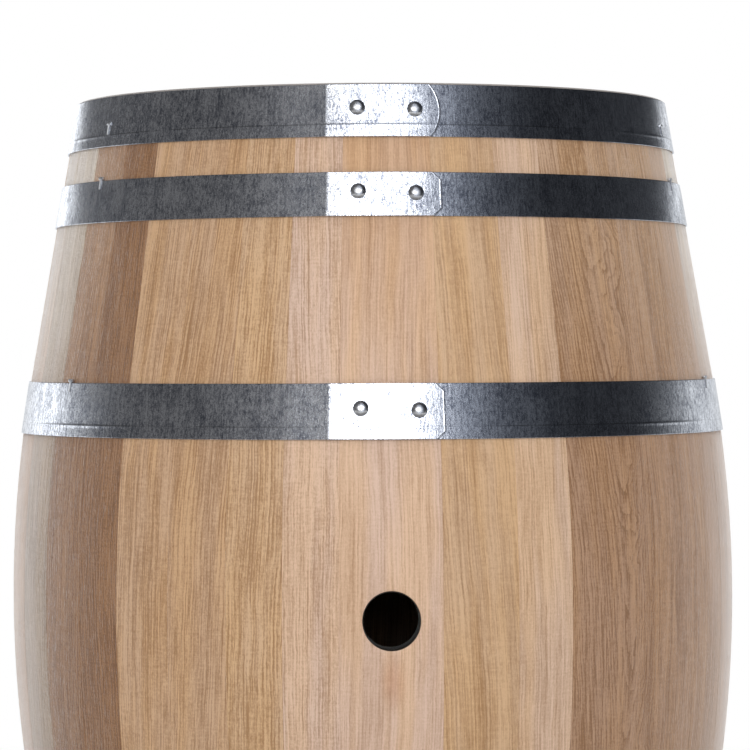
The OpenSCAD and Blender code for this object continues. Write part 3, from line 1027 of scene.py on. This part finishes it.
# %% Dowel finish
def dowel_finish():
    made, t = material("Dowel wood")
    place = t.add("ShaderNodeTexCoord", out="Object")
    lines = t.noise(t.vector(place.x * 30, place.y * 900, place.z * 900), detail=2.0)
    colour = t.mix(t.step(lines, 0.35, 0.7), srgb(196, 156, 116), srgb(160, 118, 82))
    normal = t.add("ShaderNodeBump", {"Strength": 0.2, "Distance": 0.0002, "Height": lines})
    surface(t, Base_Color=colour, Roughness=0.6 + lines * 0.1, Normal=normal)
    return made


dowel_wood = dowel_finish()
for name in ("top_head_dowels", "bottom_head_dowels"):
    nodes[name].data.materials.clear()
    nodes[name].data.materials.append(dowel_wood)
print("dowel nodes:", len(dowel_wood.node_tree.nodes))

# %% [markdown]
# ## The floor and the world
# The cask stands on a pale floor in an open white room. The floor shows the cask's shadow near it and turns into
# the white of the room further out. The room is white wherever the camera looks straight at it. Bare metal shows
# little but its surroundings, so for reflections the room is laid out as a studio: white paper low behind the cask,
# a tall soft box over the camera, and dim walls, the left one a little brighter. The box spills some light on the wall
# behind it, in a halo round the camera. All of it depends only on the direction of the reflected ray.

# %% The floor
FLOOR_R, FLOOR_SIDES = 2.4, 96
FLOOR_GREY, FLOOR_DIM = (0.86, 0.86, 0.86), (0.32, 0.32, 0.32)


def pale_floor():
    """Matt near the cask and white further out. It is dim in reflections, so the steel isn't lit from below."""
    made, t = material("Pale floor")
    place = t.add("ShaderNodeTexCoord", out="Object")
    far = t.step(t.add("ShaderNodeVectorMath", {0: place}, out=1, operation="LENGTH"), 0.9, 2.3)
    seen = t.add("ShaderNodeLightPath", out="Is Camera Ray")
    mirrored = t.add("ShaderNodeLightPath", out="Is Glossy Ray")
    straight = seen.math("MAXIMUM", mirrored)
    matt = t.add("ShaderNodeBsdfDiffuse", {"Color": t.mix(mirrored, FLOOR_GREY, FLOOR_DIM), "Roughness": 0.5})
    white = t.add("ShaderNodeEmission", {"Color": (1, 1, 1), "Strength": 1.0})
    both = t.add("ShaderNodeMixShader", {0: far * straight, 1: matt, 2: white})
    out = t.tree.nodes.new("ShaderNodeOutputMaterial")
    t.tree.links.new(both.socket, out.inputs["Surface"])
    return made


rim = [2 * math.pi * i / FLOOR_SIDES for i in range(FLOOR_SIDES)]
disc = [(FLOOR_R * math.cos(a), FLOOR_R * math.sin(a), 0.0) for a in rim]
floor = linked("floor", mesh_of("floor", disc, [tuple(range(FLOOR_SIDES))]))
floor.data.materials.append(pale_floor())
print("floor radius:", FLOOR_R)

# %% What the steel mirrors
BOX_WHITE = (4.2, 4.2, 4.2)
PAPER_LOW, PAPER_HIGH = (0.78, 0.80, 0.82), (1.65, 1.70, 1.76)
WALL_RIGHT, WALL_LEFT = (0.90, 0.97, 1.12), (1.0, 0.99, 1.0)
NONE = (0.0, 0.0, 0.0)

world = bpy.data.worlds.new("Open white room")
bpy.context.scene.world = world
world.use_nodes = True
world.node_tree.nodes.clear()
room = Tree(world.node_tree)
look = room.add("ShaderNodeTexCoord", out="Generated")
front = 0 - look.y
sideways = look.x / front
before = room.step(front, 0.2, 0.3)

box_side = room.step(sideways, -0.43, -0.29) * (1 - room.step(sideways, 0.13, 0.36))
box_height = room.step(look.z, 0.17, 0.21) * (1 - room.step(look.z, 0.393, 0.411))
tall_box = box_side * box_height * before

paper = room.step(look.y * 0.05 - look.z, -0.130, -0.055) * room.step(look.y, 0.0, 0.3)
paper_white = room.mix(room.step(look.z - look.x * 0.06, 0.05, 0.13), PAPER_LOW, PAPER_HIGH)
bright = room.mix(tall_box, NONE, BOX_WHITE) + room.mix(paper, NONE, paper_white)

leftward = 1 - room.step(look.x, -0.5, 0.3)
halo = room.step(front, 0.4, 0.95) * 0.13 + room.step(front, 0.84, 0.985) * 0.10
spill = room.step(sideways, -0.4, 0.0) * (1 - room.step(sideways, 0.05, 0.85)) * before * 0.5
walls = room.mix(leftward, WALL_RIGHT, WALL_LEFT) * (leftward * 0.10 + halo + spill + 0.030)
mirrored = walls + bright
print("nodes of the studio:", len(world.node_tree.nodes))

# %% The world
FILL = 0.37  # the even grey that lights the wood
camera_ray = room.add("ShaderNodeLightPath", out="Is Camera Ray")
mirror_ray = room.add("ShaderNodeLightPath", out="Is Glossy Ray")
seen = room.mix(mirror_ray, (FILL, FILL, FILL), mirrored)
sky = room.add("ShaderNodeBackground", {"Color": room.mix(camera_ray, seen, (1, 1, 1)), "Strength": 1.0})
room.tree.links.new(sky.socket, room.tree.nodes.new("ShaderNodeOutputWorld").inputs["Surface"])
print("world nodes:", len(world.node_tree.nodes))

# %% [markdown]
# ## Lights
# Four wide panels light the wood evenly, the front one from above and behind the camera. Two more stand behind the
# cask and graze the fuzz on its sides. None of them shows in the steel, which mirrors the room instead.

# %% Soft panels
CASK_MIDDLE = (0, 0, 0.6)  # a little above the true middle, where the camera looks


def soft_panel(name, place, wide, high, power):
    lamp = bpy.data.lights.new(name, "AREA")
    lamp.shape, lamp.size, lamp.size_y, lamp.energy = "RECTANGLE", wide, high, power
    light = bpy.data.objects.new(name, lamp)
    bpy.context.scene.collection.objects.link(light)
    light.location = place
    light.rotation_euler = (Vector(CASK_MIDDLE) - Vector(place)).to_track_quat("-Z", "Y").to_euler()
    light.visible_glossy = False


soft_panel("Front panel", (-0.13, -3.9, 1.75), 1.75, 1.9, power=42)
soft_panel("Left panel", (-3.0, -2.4, 1.6), 2.0, 2.4, power=37)
soft_panel("Right panel", (3.0, -2.2, 1.6), 2.0, 2.4, power=30)
soft_panel("Top panel", (0, -0.4, 3.4), 2.2, 2.2, power=20)
soft_panel("Left rim panel", (-2.3, 3.3, 2.1), 1.6, 2.0, power=80)
soft_panel("Right rim panel", (2.3, 3.3, 1.8), 1.6, 2.0, power=60)
print("lamps:", [f"{lamp.name} {lamp.energy:.0f} W" for lamp in bpy.data.lights])

# %% [markdown]
# ## The camera
# The camera stands 3.2 m away, a little to the left of the bung hole and a little above it, with a long lens. It is
# turned by a quarter of a degree about its own axis, as a hand-set tripod is.

# %% Setting up the camera
CAMERA_AT, CAMERA_AHEAD = (-0.1494, -3.2002, 0.71495), (0.04756, 0.99887, -0.00874)
CAMERA_ROLL, LENS = -0.263, 157.07

camera = bpy.data.objects.new("Camera", bpy.data.cameras.new("Camera"))
bpy.context.scene.collection.objects.link(camera)
bpy.context.scene.camera = camera
camera.data.lens, camera.data.sensor_width = LENS, 36.0
ahead = Vector(CAMERA_AHEAD).normalized()
right = ahead.cross(Vector((0, 0, 1))).normalized()
upwards = right.cross(ahead)
aim = Matrix((right, upwards, -ahead)).transposed().to_4x4() @ Matrix.Rotation(math.radians(CAMERA_ROLL), 4, "Z")
camera.matrix_world = Matrix.Translation(CAMERA_AT) @ aim
bpy.context.scene.view_settings.view_transform = "Standard"
print("camera at:", CAMERA_AT, "lens:", LENS, "mm")
